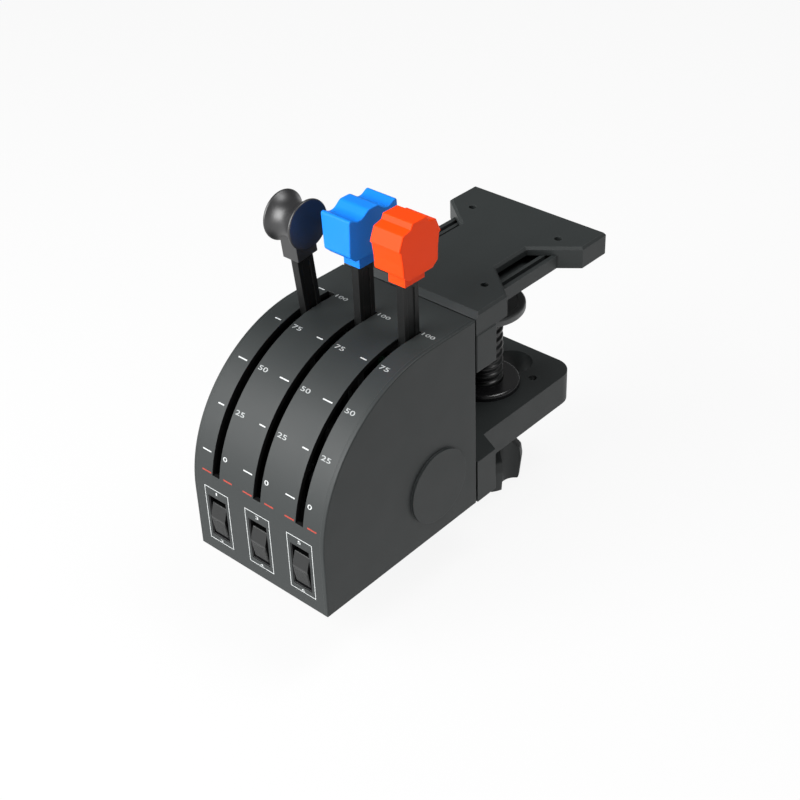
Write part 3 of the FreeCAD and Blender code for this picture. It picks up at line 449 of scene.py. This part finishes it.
# Rocker switches: black bodies snapped into windows of the housing, each with a sprung
# button that turns on a pin.
switch_black = moulded("switch_black", (0.006, 0.006, 0.007), 0.45)
button_black = moulded("button_black", (0.008, 0.009, 0.009), 0.36, grain=2000.0, depth=0.00002, edge_wear_and_highlight=0.9)
for number in (1, 2, 3):
    finish_with(switch_black, f"switch_body_{number}")
    finish_with(button_black, f"rocker_{number}")

# Button ribs: fine ribs on the lower half of each button, moulded with it in the same
# plastic, so that a finger finds the low end.
RIBS = 9
RIB_HEIGHT = 0.0003
RIB_SUNK = 0.0002
RIB_HALF = 0.0054
RIBS_FROM, RIBS_TO = 0.14, 0.93
STEPS_PER_RIB = 8
AXIS_IN, AXIS_UP = 0.0060, 0.0255
CREST_OUT, CREST_UP = 0.0072, 0.0025
TOE_OUT, TOE_UP = 0.0050, -0.0117


def ribbed_patch(x):
    """Closed ribbed skin on a button's lower face, in the button's place across the housing.

    s is 0 at the crest and 1 at the toe.  Over the ribbed share of it the height above the face
    is RIB_HEIGHT times the absolute sine of RIBS half turns, and a second sheet is sunk in the face.
    """
    centre_y = wrap_low.y + AXIS_IN
    centre_z = foot_z + AXIS_UP
    u, s = np.meshgrid(np.linspace(x - RIB_HALF, x + RIB_HALF, 3),
                       np.linspace(RIBS_FROM, RIBS_TO, STEPS_PER_RIB * RIBS + 1), indexing="ij")
    part = (s - s.min()) / (s.max() - s.min())
    height = RIB_HEIGHT * np.abs(np.sin(np.pi * RIBS * part))
    span_y, span_z = CREST_OUT - TOE_OUT, TOE_UP - CREST_UP
    length = math.hypot(span_y, span_z)
    out_y, out_z = span_z / length, -span_y / length
    y = centre_y - CREST_OUT + span_y * s
    z = centre_z + CREST_UP + span_z * s
    upper = np.stack([u, y + out_y * height, z + out_z * height], axis=-1)
    lower = np.stack([u, y - out_y * RIB_SUNK, z - out_z * RIB_SUNK], axis=-1)
    return closed_sheet(upper[:, ::-1], lower[:, ::-1])


for number, x in enumerate(LEVER_X, 1):
    rib_points, rib_faces = ribbed_patch(x)
    add_piece(f"rocker_ribs_{number}", rib_points, rib_faces, button_black, f"button_{number}")

# Switch frames: a thin white line printed round each switch, with a number above it and a
# smaller one below.
FRAME_HALF = 0.0104
FRAME_LOW, FRAME_HIGH = 0.0085, 0.0493
FRAME_LINE = 0.0005
UPPER_ALONG, UPPER_HEIGHT = FRAME_HIGH - 0.0028, 0.0022
LOWER_ALONG, LOWER_HEIGHT = FRAME_LOW + 0.0017, 0.0016
ONE_WIDTH, OTHER_WIDTH = 0.0012, 0.0026
side_low, side_high = FRAME_LOW + FRAME_LINE, FRAME_HIGH - FRAME_LINE
frames = []
for x in LEVER_X:
    left, right_end = x - FRAME_HALF, x + FRAME_HALF
    frames += [(left, right_end, FRAME_LOW, side_low), (left, right_end, side_high, FRAME_HIGH),
               (left, left + FRAME_LINE, side_low, side_high),
               (right_end - FRAME_LINE, right_end, side_low, side_high)]
print_films("switch_frames", frames, white_ink)
for place, x in enumerate(LEVER_X):
    for figure, along, height in ((2 * place + 1, UPPER_ALONG, UPPER_HEIGHT),
                                  (2 * place + 2, LOWER_ALONG, LOWER_HEIGHT)):
        width = ONE_WIDTH if figure == 1 else OTHER_WIDTH
        lettering(f"switch_figure_{figure}", str(figure), height, width, x - width / 2, along, white_ink)

# Desk bracket: hourglass plate over a ribbed tray with a leg behind the housing, and the
# lower jaw, in the housing's own plastic.
finish_with(charcoal, "bracket_plate", "bracket_frame", "lower_jaw")

# Clamp screw: coarse right-hand thread moulded in black plastic, with a plain pin on top
# that turns in the pad.
PITCH = 0.0064
CREST, ROOT = 0.0134, 0.0115
RUN_OUT_DEPTH = 0.0006
PIN_RADIUS, PIN_HEIGHT, PIN_CHAMFER = 0.006, 0.0036, 0.0005
SHARPNESS = 2.0
screw_low, screw_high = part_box("clamp_screw")


def threaded_rod(around=96, per_turn=18):
    """Grid of a threaded rod: rows up the axis, columns round it.

    The radius is the mean of crest and root plus half the depth times tanh(k cos p) / tanh k,
    where p is the turn of a right-hand helix, height over pitch less angle over a full turn.
    A cone takes the thread away at the upper end, and plain rings close the rod over its pin.
    """
    collar = screw_high.z - PIN_HEIGHT
    rows = int((collar - screw_low.z) / PITCH * per_turn)
    z = np.linspace(screw_low.z, collar, rows)[:, None]
    angle = np.linspace(0, 2 * math.pi, around, endpoint=False)[None, :]
    wave = np.cos(2 * math.pi * z / PITCH - angle)
    radius = (CREST + ROOT) / 2 + (CREST - ROOT) / 2 * np.tanh(SHARPNESS * wave) / math.tanh(SHARPNESS)
    radius = np.minimum(radius, ROOT - RUN_OUT_DEPTH + (collar - z))
    ring_radius = np.array([PIN_RADIUS, PIN_RADIUS, PIN_RADIUS - PIN_CHAMFER])[:, None] + 0 * angle
    ring_z = np.array([collar, screw_high.z - PIN_CHAMFER, screw_high.z])[:, None]
    radius = np.concatenate([radius, ring_radius])
    z = np.concatenate([z, ring_z]) + 0 * angle
    points = np.stack([radius * np.cos(angle), radius * np.sin(angle), z], axis=-1).reshape(-1, 3)
    index = np.arange(radius.size).reshape(radius.shape)
    ahead = np.roll(index, -1, axis=1)
    quads = np.stack([index[:-1], ahead[:-1], ahead[1:], index[1:]], axis=-1).reshape(-1, 4)
    points = np.concatenate([points, [[0, 0, screw_low.z], [0, 0, screw_high.z]]])
    low_pole, high_pole = radius.size, radius.size + 1
    low_fan = np.stack([ahead[0], index[0], np.full(around, low_pole)], axis=-1)
    high_fan = np.stack([index[-1], ahead[-1], np.full(around, high_pole)], axis=-1)
    return points, quads, np.concatenate([low_fan, high_fan])


screw_black = moulded("screw_black", (0.007, 0.008, 0.008), 0.30, edge_wear_and_highlight=0.9)
rod_points, rod_quads, rod_fans = threaded_rod()
rod_mesh = bpy.data.meshes.new("threaded_screw")
rod_mesh.from_pydata(rod_points.tolist(), [], rod_quads.tolist() + rod_fans.tolist())
rod_mesh.polygons.foreach_set("use_smooth", np.full(len(rod_mesh.polygons), True))
rod_mesh.update()
rod_mesh.materials.append(screw_black)
threaded_screw = bpy.data.objects.new("threaded_screw", rod_mesh)
bpy.context.scene.collection.objects.link(threaded_screw)
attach(threaded_screw, "clamp_screw")
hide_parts("clamp_screw")

# Nut, pad and star knob: the nut's broad flange lies on the jaw, the pad's rim bears on the
# underside of the desk, and the knob is held on the screw's lower end.
# The nut's flange rim is painted strongly paler: a painted highlight on the rim together with wear.
nut_black = moulded("nut_black", (0.010, 0.010, 0.011), 0.26, specular=0.7, edge=0.0009, edge_wear_and_highlight=1.0)
pad_grey = moulded("pad_grey", (0.09, 0.095, 0.095), 0.40, edge=0.0007, edge_wear_and_highlight=0.8)
finish_with(nut_black, "screw_nut")
finish_with(pad_grey, "clamp_pad")
finish_with(charcoal, "star_knob")


# Inside: plated screws and socket shell, a blackened steel shaft and sensor bracket, black
# slippery spacers and pinions, black sensors and a dark green circuit board.
def plated(name, colour, roughness):
    """Plated or blackened steel: faint streaks in roughness, and edges rounded a little."""
    mat = bpy.data.materials.new(name)
    mat.use_nodes = True
    tree = mat.node_tree
    shader = tree.nodes["Principled BSDF"]
    shader.inputs["Metallic"].default_value = 1.0
    shader.inputs["Base Color"].default_value = (*colour, 1)
    place = tree.nodes.new("ShaderNodeTexCoord")
    streak = tree.nodes.new("ShaderNodeTexNoise")
    streak.inputs["Scale"].default_value = 900.0
    streak.inputs["Detail"].default_value = 4.0
    uneven = tree.nodes.new("ShaderNodeMapRange")
    uneven.inputs["To Min"].default_value = roughness - 0.08
    uneven.inputs["To Max"].default_value = roughness + 0.08
    rounded = tree.nodes.new("ShaderNodeBevel")
    rounded.inputs["Radius"].default_value = 0.0002
    wire(tree, (place.outputs["Object"], streak.inputs["Vector"]),
         (streak.outputs["Fac"], uneven.inputs["Value"]), (uneven.outputs[0], shader.inputs["Roughness"]),
         (rounded.outputs[0], shader.inputs["Normal"]))
    return mat


steel = plated("zinc_steel", (0.62, 0.62, 0.63), 0.32)
blackened = plated("blackened_steel", (0.03, 0.03, 0.032), 0.42)
finish_with(steel, "case_screws", "bracket_screws", "data_socket")
finish_with(blackened, "lever_shaft", "sensor_bracket",
            "sensor_shaft_1", "sensor_shaft_2", "sensor_shaft_3")
slippery_black = moulded("slippery_black", (0.006, 0.006, 0.006), 0.42)
sensor_black = moulded("sensor_black", (0.004, 0.004, 0.005), 0.4)
laminate_green = moulded("laminate_green", (0.002, 0.014, 0.007), 0.35)
finish_with(slippery_black, "shaft_spacers", "sensor_pinion_1", "sensor_pinion_2", "sensor_pinion_3")
finish_with(sensor_black, "angle_sensor_1", "angle_sensor_2", "angle_sensor_3")
finish_with(laminate_green, "circuit_board")
